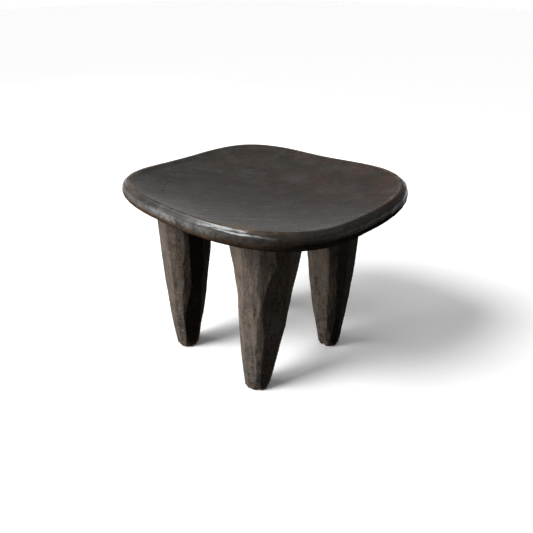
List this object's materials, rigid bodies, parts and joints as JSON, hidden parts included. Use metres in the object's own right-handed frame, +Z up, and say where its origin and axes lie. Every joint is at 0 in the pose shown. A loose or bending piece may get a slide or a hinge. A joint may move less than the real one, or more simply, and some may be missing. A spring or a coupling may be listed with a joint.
{
  "type": "stool",
  "caption": "Low carved wooden stool: a dished, rounded-square seat with a rolled edge, on hewn tapering legs held by blind tenons.",
  "frame": {"origin": "on the floor under the middle of the seat", "axes": "+Z up, +X along the seat's length, +Y across it; leg names read front as -Y and left as -X"},
  "size_m": [0.356, 0.308, 0.2581],
  "materials": {
    "seat_wood": "dark waxed hardwood, satin, rubbed brown along the rim",
    "leg_wood": "dark grey-brown hardwood, matt, left from the adze"
  },
  "bodies": {
    "root": {"seat": "seat_wood", "leg_front_left": "leg_wood", "leg_front_right": "leg_wood", "leg_back_right": "leg_wood", "leg_back_left": "leg_wood"}
  },
  "joints": []
}
